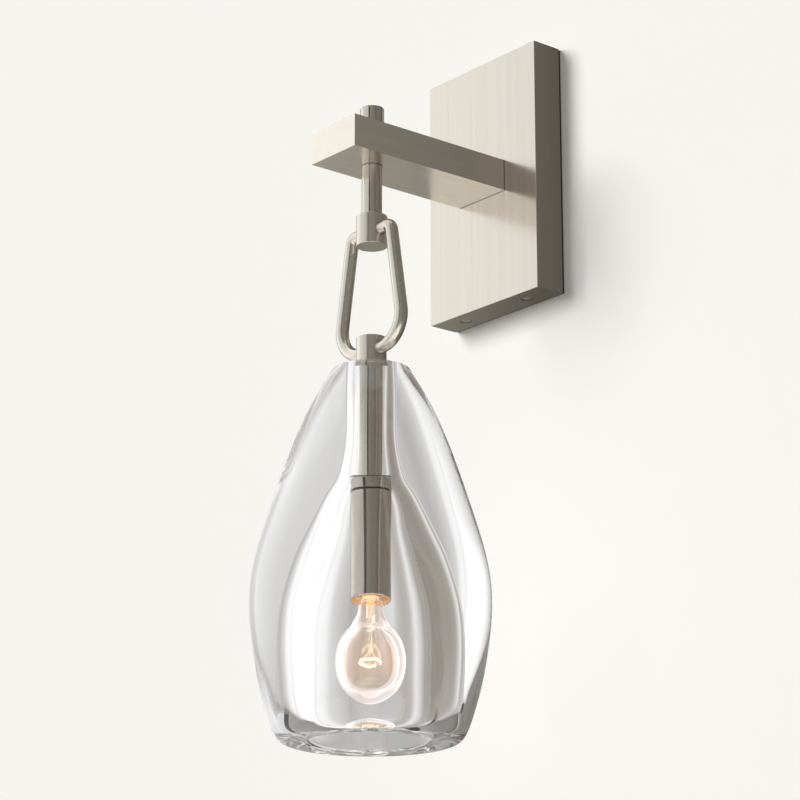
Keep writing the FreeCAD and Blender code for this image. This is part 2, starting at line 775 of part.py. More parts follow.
def bulb_mount():
    """The flared glass tube that ends in a flat pinch and carries the rod."""
    flare_radius = bulb_neck_radius - bulb_wall - slip_gap
    tube_radius = mount_tube_width / 2
    pinch_top = mount_foot + pinch_height
    flare_foot = bulb_glass_top - mount_flare_height
    outline = [
        (flare_radius - mount_wall, bulb_glass_top), (flare_radius, bulb_glass_top),
        (tube_radius, flare_foot), (tube_radius, pinch_top),
        (tube_radius - mount_wall, pinch_top), (tube_radius - mount_wall, flare_foot),
        (flare_radius - mount_wall, bulb_glass_top),
    ]
    tube = turned([line(start, end) for start, end in zip(outline, outline[1:])])
    half_thick = pinch_thick / 2
    pinch = box(
        -pinch_width / 2, pinch_width / 2, stem_y - half_thick, stem_y + half_thick,
        mount_foot, pinch_top + mount_wall,
    )
    rod = stem_bar(rod_width, rod_foot, mount_foot)
    button = Part.makeSphere(rod_button_width / 2, on_axis(0, rod_foot))
    return tube.fuse([pinch, rod, button]).removeSplitter()


def ring_place(reach, turn, z):
    """A point at a reach from the stem's axis, a share of a full turn round from +X."""
    angle = 2 * math.pi * turn
    return on_axis(reach * math.cos(angle), z) + Vector(0, reach * math.sin(angle), 0)


def filament_places():
    """The filament's corners, high and low by turns, round a ring that is open towards the wall."""
    count = 2 * filament_loops + 1
    places = []
    for step in range(count):
        z = filament_top if step % 2 == 0 else filament_foot
        places.append(ring_place(filament_reach, 1 / 4 + (step + 1 / 2) / count, z))
    return places


def wire(start, end, width):
    return Part.makeCylinder(width / 2, (end - start).Length, start, end - start)


def filament():
    places = filament_places()
    legs = [wire(start, end, filament_width) for start, end in zip(places, places[1:])]
    corners = [Part.makeSphere(filament_width / 2, place) for place in places]
    return legs[0].fuse(legs[1:] + corners)


def filament_supports():
    """Fine wires from the button out to the filament's corners, and the two lead-in wires."""
    wires = []
    places = filament_places()
    button = on_axis(0, rod_foot)
    for place in places[1:-1]:
        run = (place - button).normalize()
        start = button + run * (rod_button_width / 2 + slip_gap)
        wires.append(wire(start, place - run * filament_width, support_width))
    for side, place in ((-1, places[0]), (1, places[-1])):
        start = on_axis(side * lead_in_spread / 2, mount_foot - support_width)
        run = (place - start).normalize()
        wires.append(wire(start, place - run * 2 * filament_width, support_width))
    return Part.makeCompound(wires)


# Glass shade

def shade_outline():
    half = shade_width / 2
    places = [
        (half * width_share, shade_top - shade_height * depth_share)
        for width_share, depth_share in shade_outer_shares
    ]
    first = (places[1][0] - places[0][0], places[1][1] - places[0][1])
    return smooth(places, first, (-1, 0)), places[0], places[-1]


def cavity_outline():
    """The inside of the shade: the straight bore, its flare to the seat, and the cavity."""
    bore_depth = shade_top - flange_top
    cavity_depth = flange_top - shade_foot
    places = [(bore_radius, shade_top - bore_depth * bore_straight_share)]
    for width_share, depth_share in bore_flare_shares:
        radius = bore_radius + (seat_radius - bore_radius) * width_share
        places.append((radius, shade_top - bore_depth * depth_share))
    places.append((seat_radius, flange_top))
    for width_share, depth_share in cavity_shares:
        radius = seat_radius + (cavity_width / 2 - seat_radius) * width_share
        places.append((radius, flange_top - cavity_depth * depth_share))
    return smooth(places, (0, -1), (0, -1)), places[0], places[-1]


def shade_glass():
    outside, outside_top, outside_foot = shade_outline()
    inside, bore_end, inside_foot = cavity_outline()
    bore_top = (bore_radius, shade_top)
    mouth_side = (inside_foot[0], shade_foot + mouth_round)
    mouth_rim = (inside_foot[0] + mouth_round, shade_foot)
    lip_offset = mouth_round * (1 - math.sqrt(0.5))
    lip_middle = on_axis(inside_foot[0] + lip_offset, shade_foot + lip_offset)
    lip = Part.Arc(on_axis(*mouth_side), lip_middle, on_axis(*mouth_rim)).toShape()
    edges = [
        outside, inside, lip,
        line(bore_top, outside_top), line(bore_top, bore_end),
        line(inside_foot, mouth_side), line(mouth_rim, outside_foot),
    ]
    return turned(edges)


# Leads and connectors

def arm_leads():
    """Live and neutral, from their connectors through the arm and down the stem to the upper bar."""
    leads = []
    end_z = upper_pin_z + rod_bore_radius + lead_end_gap
    mouth_z = -connector_drop - lead_end_gap
    for side in (-1, 1):
        inner_x = side * lead_spread / 2
        outer_x = side * connector_spacing / 2
        points = [
            Vector(outer_x, connector_y, mouth_z - connector_grip),
            Vector(outer_x, connector_y, mouth_z + connector_grip),
            Vector(inner_x, connector_y, 0),
            on_axis(inner_x, 0),
            on_axis(inner_x, end_z),
        ]
        leads.append(swept(points, [lead_bend, lead_bend, lead_bend], lead_width))
    return Part.makeCompound(leads)


def earth_lead():
    """Earth lead from under the head of the earth screw to its own connector."""
    start_y = -plate_thick - lead_width / 2 - slip_gap
    start_z = earth_screw_z - earth_screw_head_width / 2 - slip_gap
    mouth_z = -connector_drop - lead_end_gap
    points = [
        Vector(earth_screw_x, start_y, start_z),
        Vector(earth_screw_x, start_y, start_z / 2),
        Vector(earth_lead_x, connector_y, mouth_z / 2),
        Vector(earth_lead_x, connector_y, mouth_z - connector_grip),
    ]
    return swept(points, [lead_bend, lead_bend], lead_width)


def wire_connectors():
    """Twist-on caps over the ends of the three leads, mouths up."""
    caps = []
    foot_z = -connector_drop - connector_length
    hole_width = lead_width + 2 * slip_gap
    for x in (-connector_spacing / 2, connector_spacing / 2, earth_lead_x):
        foot = Vector(x, connector_y, foot_z)
        cap = Part.makeCone(connector_tip_width / 2, connector_width / 2, connector_length, foot)
        hole_foot = Vector(x, connector_y, -connector_drop - connector_grip - 2 * lead_end_gap)
        hole = Part.makeCylinder(hole_width / 2, connector_grip + cut_over, hole_foot)
        caps.append(cap.cut(hole))
    return Part.makeCompound(caps)


def neck_leads():
    """Live and neutral from the lower bar down the neck and into the top of the socket."""
    leads = []
    start_z = lower_pin_z - rod_bore_radius - lead_end_gap
    spread_room = neck_pipe_foot - socket_top
    for side in (-1, 1):
        inner_x = side * lead_spread / 2
        outer_x = side * socket_lead_spread / 2
        points = [
            on_axis(inner_x, start_z),
            on_axis(inner_x, neck_pipe_foot),
            on_axis(outer_x, socket_top + spread_room / 4),
            on_axis(outer_x, socket_top - socket_lead_depth),
        ]
        leads.append(swept(points, [lead_bar_bend, lead_bar_bend], lead_width))
    return Part.makeCompound(leads)


PIECES = {
    "canopy": canopy,
    "wall_seal": wall_seal,
    "mounting_plate": mounting_plate,
    "canopy_screws": canopy_screws,
    "earth_screw": earth_screw,
    "arm": arm,
    "arm_root_block": arm_root_block,
    "arm_washers": arm_washers,
    "arm_bolts": arm_bolts,
    "lead_grommet": lead_grommet,
    "pipe_spacer": pipe_spacer,
    "stem_pipe": stem_pipe,
    "stem_cap": stem_cap,
    "stem_tube": stem_tube,
    "upper_block": upper_block,
    "arm_leads": arm_leads,
    "earth_lead": earth_lead,
    "wire_connectors": wire_connectors,
    "link_left": lambda: link_half(-1),
    "link_right": lambda: link_half(1),
    "link_top_spigot": lambda: link_spigot(upper_pin_z),
    "link_foot_spigot": lambda: link_spigot(lower_pin_z),
    "link_leads": link_leads,
    "lower_block": lower_block,
    "neck_bushing": neck_bushing,
    "neck_tube": neck_tube,
    "flange_seal": flange_seal,
    "flange": flange,
    "cup_gap_washer": cup_gap_washer,
    "neck_pipe": neck_pipe,
    "socket_cup": socket_cup,
    "socket_strap": socket_strap,
    "neck_nut": neck_nut,
    "socket_rivets": socket_rivets,
    "neck_leads": neck_leads,
    "socket_body": socket_body,
    "screw_shell": screw_shell,
    "centre_contact": centre_contact,
    "shade_glass": shade_glass,
    "bulb_base": bulb_base,
    "base_insulator": base_insulator,
    "tip_contact": tip_contact,
    "bulb_glass": bulb_glass,
    "bulb_mount": bulb_mount,
    "filament_supports": filament_supports,
    "filament": filament,
}

os.makedirs("parts", exist_ok=True)
for name, make_piece in PIECES.items():
    make_piece().exportStep("parts/" + name + ".step")
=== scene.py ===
import json
import math

import bmesh
import bpy
import numpy as np
from mathutils import Matrix, Vector


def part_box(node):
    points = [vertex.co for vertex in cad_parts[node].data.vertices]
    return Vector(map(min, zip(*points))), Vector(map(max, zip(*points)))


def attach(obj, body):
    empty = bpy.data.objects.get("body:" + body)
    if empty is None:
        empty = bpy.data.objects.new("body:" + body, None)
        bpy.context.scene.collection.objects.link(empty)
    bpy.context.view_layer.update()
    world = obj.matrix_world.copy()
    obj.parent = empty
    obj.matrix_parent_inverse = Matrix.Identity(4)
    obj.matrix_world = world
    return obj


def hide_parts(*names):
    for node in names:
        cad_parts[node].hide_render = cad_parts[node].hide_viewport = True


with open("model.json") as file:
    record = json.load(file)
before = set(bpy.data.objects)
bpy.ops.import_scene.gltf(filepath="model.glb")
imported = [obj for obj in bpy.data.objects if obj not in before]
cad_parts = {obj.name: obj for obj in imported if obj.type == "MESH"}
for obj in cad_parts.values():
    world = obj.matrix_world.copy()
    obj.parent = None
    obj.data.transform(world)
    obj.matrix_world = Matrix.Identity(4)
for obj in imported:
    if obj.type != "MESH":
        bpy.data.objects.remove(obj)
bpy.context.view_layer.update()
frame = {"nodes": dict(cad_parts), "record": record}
nodes = frame["nodes"]

# Canopy: the shallow box of nickel plated steel that covers the wiring.
# Its edges are eased, and its faces are brushed upright before they are plated and lacquered.

nickel_color = (0.795, 0.748, 0.668)
nickel_groove_share = 0.87
grain_width = 0.00016
grain_length = 0.03
grain_detail = 3.0
grain_fineness = 0.65
grain_relief = 0.0001
grain_relief_strength = 0.04
grain_roughness_shares = (0.8, 1.25)
streak_width = 0.004
streak_length = 0.25
streak_detail = 2.0
streak_roughness_shares = (0.85, 1.18)
streak_contrast = (0.3, 0.7)
streak_levels = (0.975, 1.015)
# Painted shade in crevices: how far the ambient occlusion looks, and how much it darkens the colour
crevice_shade_reach = 0.0013
crevice_shade_samples = 6
crevice_shade_openness = (0.42, 0.85)
crevice_shade_levels = (0.3, 1.0)


def node(tree, kind, sockets=None, **settings):
    """Add a shader node. A socket takes a plain value, or the output of another node."""
    made = tree.nodes.new("ShaderNode" + kind)
    for name, value in settings.items():
        setattr(made, name, value)
    for name, value in (sockets or {}).items():
        if isinstance(value, bpy.types.NodeSocket):
            tree.links.new(value, made.inputs[name])
        else:
            made.inputs[name].default_value = value
    return made


def mapped(tree, value, span=(0.0, 1.0), levels=(0.0, 1.0), smooth=False):
    """A value taken from its span to the levels, which hold beyond the span's ends."""
    return node(tree, "MapRange", {"Value": value, "From Min": span[0], "From Max": span[1],
                                   "To Min": levels[0], "To Max": levels[1]},
                interpolation_type="SMOOTHSTEP" if smooth else "LINEAR").outputs[0]


def product(tree, first, second):
    """One value times another."""
    return node(tree, "Math", {0: first, 1: second}, operation="MULTIPLY").outputs[0]


def scaled(tree, vector, scale):
    """A vector times a scale of its own along each axis."""
    return node(tree, "VectorMath", {0: vector, 1: scale}, operation="MULTIPLY").outputs[0]


def blended(tree, share, start, end):
    """A colour that goes from one to another as the share goes from 0 to 1."""
    return node(tree, "Mix", {"Factor": share, "A": start, "B": end}, data_type="RGBA").outputs["Result"]


def dimmed(tree, color, level):
    """A colour times a level."""
    return node(tree, "Mix", {"Factor": 1.0, "A": color, "B": level}, data_type="RGBA",
                blend_type="MULTIPLY").outputs["Result"]


def effect(name, inputs, outputs):
    """An empty node group. Inputs and outputs are pairs of a name and a kind of socket."""
    tree = bpy.data.node_groups.new(name, "ShaderNodeTree")
    for label, kind in inputs:
        tree.interface.new_socket(label, in_out="INPUT", socket_type="NodeSocket" + kind)
    for label, kind in outputs:
        tree.interface.new_socket(label, in_out="OUTPUT", socket_type="NodeSocket" + kind)
    return tree, tree.nodes.new("NodeGroupInput"), tree.nodes.new("NodeGroupOutput")


def brushed_effect():
    """Fine lines along one direction, with broad faint streaks, as a brushing belt leaves them."""
    tree, given, result = effect(
        "brushed",
        [("Vector", "Vector"), ("Line scale", "Vector"), ("Streak scale", "Vector"),
         ("Roughness", "Float")],
        [("Lines", "Float"), ("Streaks", "Float"), ("Roughness", "Float")],
    )
    across_lines = scaled(tree, given.outputs["Vector"], given.outputs["Line scale"])
    lines = node(tree, "TexNoise", {"Vector": across_lines, "Scale": 1.0, "Detail": grain_detail,
                                    "Roughness": grain_fineness}).outputs["Fac"]
    across_streaks = scaled(tree, given.outputs["Vector"], given.outputs["Streak scale"])
    streaks = node(tree, "TexNoise", {"Vector": across_streaks, "Scale": 1.0,
                                      "Detail": streak_detail}).outputs["Fac"]
    share = product(tree, mapped(tree, lines, levels=grain_roughness_shares),
                    mapped(tree, streaks, levels=streak_roughness_shares))
    tree.links.new(lines, result.inputs["Lines"])
    tree.links.new(streaks, result.inputs["Streaks"])
    tree.links.new(product(tree, share, given.outputs["Roughness"]), result.inputs["Roughness"])
    return tree


brushed = brushed_effect()


def material(name):
    """A new material with its tree and its main shader."""
    made = bpy.data.materials.new(name)
    made.use_nodes = True
    tree = made.node_tree
    return made, tree, tree.nodes["Principled BSDF"]


def satin_nickel(name, line_axis, roughness=0.2, painted_lightness=1.0, rim=1.0):
    """Brushed nickel plate with its lines along X, Y or Z, with painted shade in its crevices.

    The rim is the share of grazing light that it gives back. The painted lightness paints light or
    shade into the plating's colour, as lighter and darker copies of one nickel.
    """
    made, tree, surface = material(name)
    place = node(tree, "TexCoord").outputs["Object"]
    along = "XYZ".index(line_axis)
    line_scale = [1 / grain_width] * 3
    line_scale[along] = 1 / grain_length
    streak_scale = [1 / streak_width] * 3
    streak_scale[along] = 1 / streak_length
    grain = node(tree, "Group", {"Vector": place, "Line scale": line_scale, "Streak scale": streak_scale,
                                 "Roughness": roughness}, node_tree=brushed)
    crest = [channel * painted_lightness for channel in nickel_color]
    groove = [channel * nickel_groove_share for channel in crest]
    tint = blended(tree, grain.outputs["Lines"], groove + [1.0], crest + [1.0])
    # Painted shade: ambient occlusion darkens the colour in crevices and where pieces meet
    openness = node(tree, "AmbientOcclusion", {"Distance": crevice_shade_reach},
                    samples=crevice_shade_samples).outputs["AO"]
    crevice_shade = mapped(tree, openness, crevice_shade_openness, crevice_shade_levels)
    streak = mapped(tree, grain.outputs["Streaks"], streak_contrast, streak_levels)
    shaded = dimmed(tree, tint, product(tree, crevice_shade, streak))
    relief = node(tree, "Bump", {"Strength": grain_relief_strength, "Distance": grain_relief,
                                 "Height": grain.outputs["Lines"]})
    tree.links.new(shaded, surface.inputs["Base Color"])
    tree.links.new(grain.outputs["Roughness"], surface.inputs["Roughness"])
    tree.links.new(relief.outputs["Normal"], surface.inputs["Normal"])
    surface.inputs["Metallic"].default_value = 1.0
    surface.inputs["Specular Tint"].default_value = (rim, rim, rim, 1.0)
    return made


def dress(name, finish):
    """Give a carried-over node its finish."""
    for carried in nodes[name].material_slots:
        carried.material = finish


nickel_upright = satin_nickel("satin_nickel_upright", "Z")
dress("canopy", nickel_upright)

# Canopy seal and the plate behind it: a black foam strip that closes the gap to the wall,
# and a zinc plated plate that two screws hold to the junction box. Two polished screws under the
# canopy hold it to the plate's bent tabs.

mottle_scale = 400.0
mottle_detail = 3.0
mottle_dark_share = 0.85
mottle_roughness_shares = (0.85, 1.2)


def mottled_effect():
    """A faint uneven tone and gloss, as moulded, plated and sawn surfaces have."""
    tree, given, result = effect(
        "mottled",
        [("Vector", "Vector"), ("Color", "Color"), ("Roughness", "Float")],
        [("Color", "Color"), ("Roughness", "Float")],
    )
    mottle = node(tree, "TexNoise", {"Vector": given.outputs["Vector"], "Scale": mottle_scale,
                                     "Detail": mottle_detail}).outputs["Fac"]
    tone = mapped(tree, mottle, levels=(mottle_dark_share, 1.0))
    gloss = mapped(tree, mottle, levels=mottle_roughness_shares)
    tree.links.new(dimmed(tree, given.outputs["Color"], tone), result.inputs["Color"])
    tree.links.new(product(tree, gloss, given.outputs["Roughness"]), result.inputs["Roughness"])
    return tree


mottled = mottled_effect()


def plain(name, color, roughness, metallic=0.0):
    """A moulded, plated or sawn surface of one colour."""
    made, tree, surface = material(name)
    place = node(tree, "TexCoord").outputs["Object"]
    skin = node(tree, "Group", {"Vector": place, "Color": color + (1.0,), "Roughness": roughness},
                node_tree=mottled)
    tree.links.new(skin.outputs["Color"], surface.inputs["Base Color"])
    tree.links.new(skin.outputs["Roughness"], surface.inputs["Roughness"])
    surface.inputs["Metallic"].default_value = metallic
    return made


black_rubber = plain("black_rubber", (0.03, 0.03, 0.03), roughness=0.7)
zinc_steel = plain("zinc_steel", (0.62, 0.64, 0.66), roughness=0.38, metallic=1.0)
brass = plain("brass", (0.80, 0.60, 0.30), roughness=0.3, metallic=1.0)
dress("wall_seal", black_rubber)
dress("mounting_plate", zinc_steel)
polished_steel = plain("polished_screw", (0.93, 0.90, 0.85), roughness=0.12, metallic=1.0)
dress("canopy_screws", polished_steel)
dress("earth_screw", brass)

# Arm: a length of square-edged nickel plated box section, brushed along its length,
# with a block, two bolts and a rubber bush inside its root.

# Painted light: the arm's nickel is a lighter copy of the plating
nickel_along = satin_nickel("satin_nickel_along", "Y", painted_lightness=1.18)
dress("arm", nickel_along)
for inner in ("arm_root_block", "arm_washers", "arm_bolts", "pipe_spacer", "stem_pipe"):
    dress(inner, zinc_steel)
dress("lead_grommet", black_rubber)

# Stem and blocks: a turned cap and tube on a threaded pipe, the round block that carries the link,
# and the block that hangs on the link's foot. All are turned, brushed and plated.

nickel_round = satin_nickel("satin_nickel_round", "Z", roughness=0.15, rim=0.4)
# Painted light: the blocks' nickel is a lighter copy of the plating
nickel_block = satin_nickel("satin_nickel_block", "Z", roughness=0.3, painted_lightness=1.06, rim=0.55)
for shown in ("stem_cap", "stem_tube"):
    dress(shown, nickel_round)
for shown in ("upper_block", "lower_block"):
    dress(shown, nickel_block)

# Link: two mirrored halves of round rod, bent to a stirrup, brushed and plated.
# They meet in a plain steel sleeve inside each of the two blocks.

# Painted light: the link's nickel is a lighter copy of the plating
nickel_link = satin_nickel("satin_nickel_link", "Z", roughness=0.24, painted_lightness=1.06, rim=0.38)
for half in ("link_left", "link_right"):
    dress(half, nickel_link)
for sleeve in ("link_top_spigot", "link_foot_spigot"):
    dress(sleeve, zinc_steel)

# Leads: pale insulated wire, run through the arm, the link and the neck, and a green earth lead.
# Twist-on connectors join them to the house wiring inside the canopy.

lead_cover = plain("lead_insulation", (0.86, 0.85, 0.82), roughness=0.35)
for run in ("arm_leads", "link_leads", "neck_leads"):
    dress(run, lead_cover)
dress("earth_lead", plain("earth_insulation", (0.08, 0.36, 0.13), roughness=0.35))
dress("wire_connectors", plain("connector_plastic", (0.80, 0.36, 0.08), roughness=0.5))

# Neck, flange and socket cup: turned from nickel plated brass, with a dark washer under the flange.
# A threaded pipe inside the neck holds them together, and the flange carries the glass.

# Painted light: a warm glow inside the socket cup, in place of the bulb's light
cup_light_depth = 0.011
cup_light_deepest = 0.35
cup_light_color = (1.0, 0.5, 0.2, 1.0)
cup_light_strength = 0.42
cup_wall = 0.0009


def paint_light_inside(finish, name, wall):
    """Paint the bulb's warm light on the inside of a turned piece as a glow, strongest at its foot."""
    tree = finish.node_tree
    surface = tree.nodes["Principled BSDF"]
    foot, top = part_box(name)
    place = node(tree, "TexCoord").outputs["Object"]
    level = node(tree, "SeparateXYZ", {"Vector": place}).outputs["Z"]
    flat = scaled(tree, place, (1.0, 1.0, 0.0))
    axis = (0.0, (foot.y + top.y) / 2, 0.0)
    out = node(tree, "VectorMath", {0: flat, 1: axis}, operation="DISTANCE").outputs["Value"]
    inside = mapped(tree, out, (top.x - wall, top.x - wall / 2), (1.0, 0.0))
    near = mapped(tree, level, (foot.z, foot.z + cup_light_depth), (1.0, cup_light_deepest))
    painted_shine = blended(tree, product(tree, inside, near), (0.0, 0.0, 0.0, 1.0), cup_light_color)
    tree.links.new(painted_shine, surface.inputs["Emission Color"])
    surface.inputs["Emission Strength"].default_value = cup_light_strength


# Painted shade: the nickel of the neck, flange and cup is a darker copy of the plating
nickel_inner = satin_nickel("satin_nickel_inner", "Z", roughness=0.14, painted_lightness=0.88, rim=0.6)
for shown in ("neck_bushing", "neck_tube", "flange"):
    dress(shown, nickel_inner)
nickel_cup = satin_nickel("satin_nickel_cup", "Z", roughness=0.14, painted_lightness=0.88, rim=0.6)
paint_light_inside(nickel_cup, "socket_cup", cup_wall)
dress("socket_cup", nickel_cup)
for inner in ("neck_pipe", "socket_strap"):
    dress(inner, zinc_steel)
for inner in ("neck_nut", "socket_rivets", "screw_shell", "centre_contact"):
    dress(inner, brass)
dress("cup_gap_washer", black_rubber)
dress("socket_body", plain("socket_plastic", (0.82, 0.79, 0.72), roughness=0.4))

# Shade: thick clear glass, cast and fire polished, open at the foot. It hangs by the seat in its bore
# on the flange, with a clear seal between them.


def clear_glass(name, ior, roughness=0.0):
    """Glass or silicone without a colour of its own."""
    made, tree, surface = material(name)
    surface.inputs["Base Color"].default_value = (1.0, 1.0, 1.0, 1.0)
    surface.inputs["Roughness"].default_value = roughness
    surface.inputs["IOR"].default_value = ior
    surface.inputs["Transmission Weight"].default_value = 1.0
    return made, tree, surface


shade_low, shade_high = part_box("shade_glass")
stem_y = (shade_low.y + shade_high.y) / 2
half_width = (shade_high.x - shade_low.x) / 2
shade_height = shade_high.z - shade_low.z
seat_gap = 0.0004
bore_gap = 0.0006
seat_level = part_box("flange")[1].z
seat_depth = shade_high.z - seat_level
seat_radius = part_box("flange")[1].x + seat_gap
bore_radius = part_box("lower_block")[1].x + bore_gap
cavity_radius = 0.0418
mouth_round = 0.0012
outer_steps = 10
inner_steps = 9
lip_corners = 7
shade_steps = 192
sharp_angle = math.radians(50)
merge_distance = 0.000001
shade_ior = 1.5
seal_ior = 1.41
seal_roughness = 0.12
light_bounces = 32

# Outwards and downwards, in shares of the half width and the height, or of the bore or the cavity
outer_shares = [(0.328, 0.0), (0.494, 0.093), (0.64, 0.198), (0.768, 0.313), (0.892, 0.437),
                (0.986, 0.563), (0.995, 0.6775), (0.956, 0.776), (0.905, 0.8585), (0.853, 0.917),
                (0.801, 0.9645), (0.741, 0.9925), (0.675, 1.0)]
bore_shares = [(0.0, 0.588), (0.275, 0.804), (0.6, 0.917)]
cavity_shares = [(0.0, 0.0), (0.104, 0.041), (0.398, 0.174), (0.647, 0.278), (0.822, 0.369),
                 (0.918, 0.441), (0.978, 0.533), (1.0, 0.684), (1.0, 0.927)]


def smooth_line(places, first, last, steps):
    """Points on a cubic curve through all the places, which leaves and ends in the given directions."""
    knots = np.array(places)
    spans = np.linalg.norm(np.diff(knots, axis=0), axis=1)
    count = len(knots)
    system = np.zeros((count, count))
    wanted = np.zeros((count, 2))
    system[0, 0] = system[-1, -1] = 1.0
    wanted[0] = np.array(first) / np.linalg.norm(first)
    wanted[-1] = np.array(last) / np.linalg.norm(last)
    for at in range(1, count - 1):
        before, after = spans[at - 1], spans[at]
        system[at, at - 1:at + 2] = (after, 2 * (before + after), before)
        rise_before = (knots[at] - knots[at - 1]) / before
        rise_after = (knots[at + 1] - knots[at]) / after
        wanted[at] = 3 * (after * rise_before + before * rise_after)
    slopes = np.linalg.solve(system, wanted)
    points = []
    for at in range(count - 1):
        for share in np.arange(steps) / steps:
            rest = 1 - share
            points.append(
                knots[at] * (1 + 2 * share) * rest ** 2 + knots[at + 1] * share ** 2 * (3 - 2 * share)
                + spans[at] * (slopes[at] * share * rest ** 2 - slopes[at + 1] * share ** 2 * rest)
            )
    points.append(knots[-1])
    return [tuple(point) for point in points]


def add_object(name, data):
    """Put a mesh, a curve, a lamp or a camera in the scene."""
    made = bpy.data.objects.new(name, data)
    bpy.context.scene.collection.objects.link(made)
    return made


def add_mesh(name, made):
    """Put what has been made in a bmesh in the scene, as a mesh of its own."""
    mesh = bpy.data.meshes.new(name)
    made.to_mesh(mesh)
    made.free()
    return add_object(name, mesh)


def turned(name, outline, steps, closed=True):
    """Spin an outline of (radius, level) places round the stem's axis into a smooth mesh."""
    made = bmesh.new()
    ring = [made.verts.new((radius, stem_y, level)) for radius, level in outline]
    edges = [made.edges.new(pair) for pair in zip(ring, ring[1:])]
    if closed:
        edges.append(made.edges.new((ring[-1], ring[0])))
    bmesh.ops.spin(made, geom=ring + edges, cent=(0, stem_y, 0), axis=(0, 0, 1), angle=2 * math.pi,
                   steps=steps, use_merge=True)
    bmesh.ops.remove_doubles(made, verts=made.verts, dist=merge_distance)
    bmesh.ops.recalc_face_normals(made, faces=made.faces)
    piece = add_mesh(name, made)
    piece.data.shade_smooth()
    return piece


def outer_place(width_share, depth_share):
    """A place on the outside, from its shares of the half width and of the height."""
    return half_width * width_share, shade_high.z - shade_height * depth_share


def bore_place(width_share, depth_share):
    """A place in the bore, between the lower block and the flange."""
    radius = bore_radius + (seat_radius - bore_radius) * width_share
    return radius, shade_high.z - seat_depth * depth_share


def cavity_place(width_share, depth_share):
    """A place in the cavity, between the flange and the mouth."""
    radius = seat_radius + (cavity_radius - seat_radius) * width_share
    return radius, seat_level - (seat_level - shade_low.z) * depth_share


outer_places = [outer_place(*shares) for shares in outer_shares]
start_slope = np.subtract(outer_places[1], outer_places[0])
outer_line = smooth_line(outer_places, start_slope, (-1, 0), outer_steps)
inner_places = [bore_place(*shares) for shares in bore_shares]
inner_places += [cavity_place(*shares) for shares in cavity_shares]
inner_line = smooth_line(inner_places, (0, -1), (0, -1), inner_steps)
lip = []
for turn in np.linspace(0, math.pi / 2, lip_corners):
    lip.append((cavity_radius + mouth_round * (1 - math.cos(turn)),
                shade_low.z + mouth_round * (1 - math.sin(turn))))
shade_line = inner_line + lip + outer_line[::-1] + [(bore_radius, shade_high.z)]
shade = turned("shade", shade_line, shade_steps)
shade.data.set_sharp_from_angle(angle=sharp_angle)
shade.data.materials.append(clear_glass("shade_glass", shade_ior)[0])
dress("flange_seal", clear_glass("clear_silicone", seal_ior, seal_roughness)[0])
nodes["flange_seal"].visible_shadow = False
shade.visible_shadow = False
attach(shade, "pendant")
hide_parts("shade_glass")

# Light runs up and down inside the thick wall many times before it comes out
bpy.context.scene.cycles.max_bounces = light_bounces
bpy.context.scene.cycles.transmission_bounces = light_bounces
bpy.context.scene.cycles.glossy_bounces = light_bounces

# Bulb: a clear blown glass envelope on a plated base, with a glass mount that holds the filament.
# The wall is thick at the ball, and its edge carries a painted highlight in place of the filament's light.

bulb_low, bulb_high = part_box("bulb_glass")
base_low, base_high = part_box("bulb_base")
ball_growth = 0.0004
ball_radius = (bulb_high.x - bulb_low.x) / 2 + ball_growth
ball_drop = 0.0196
ball_level = bulb_low.z + ball_drop
base_radius = base_high.x
neck_inset = 0.00055
neck_radius = base_radius - neck_inset
ball_wall = 0.0042
neck_wall = 0.0008
ball_end = math.acos(0.67)
ball_rise = 0.0268
ball_fullness = 0.72
ball_corners = 44
shoulder_steps = 8
bulb_steps = 128

bulb_ior = 1.5
# Painted highlight and warm glow on the bulb's glass, in place of the filament's light
painted_edge_color = (1.0, 0.95, 0.97, 1.0)
edge_blend = 0.5
edge_band = (0.5, 0.57)
edge_lean = 0.2
side_levels = (0.3, 1.0)
painted_glow_side = (0.636, 0.771, 0.0)
shoulder_band = (bulb_low.z + 0.038, bulb_low.z + 0.048)
shoulder_levels = (1.0, 0.25)
filament_low, filament_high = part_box("filament")
filament_level = (filament_low.z + filament_high.z) / 2
warm_reach = 0.016
warm_levels = (1.0, 0.3)

# What is left of the narrowing, and of the height, up the shoulder from the ball to the base
shoulder_shares = [(0.525, 0.357), (0.304, 0.623), (0.219, 0.862), (0.0, 1.0)]


def envelope(ball_inset, narrowing):
    """The bulb's outline from its tip to its top, moved in by the wall where asked."""
    radius = ball_radius - ball_inset
    narrow = neck_radius - narrowing
    line = [(0.0, ball_level - ball_drop + ball_inset)]
    for turn in np.linspace(-math.pi / 2, ball_end, ball_corners)[1:]:
        share, reach = (1.0, ball_rise) if turn > 0 else (ball_fullness, ball_drop)
        line.append((radius * math.cos(turn) ** share, ball_level + (reach - ball_inset) * math.sin(turn)))
    wide, level = line.pop()
    shoulder = [(wide, level)]
    for width_share, height_share in shoulder_shares:
        shoulder.append((narrow + (wide - narrow) * width_share,
                         level + (base_low.z - level) * height_share))
    leaving = (-math.sin(ball_end), math.cos(ball_end))
    return line + smooth_line(shoulder, leaving, (0, 1), shoulder_steps) + [(narrow, bulb_high.z)]


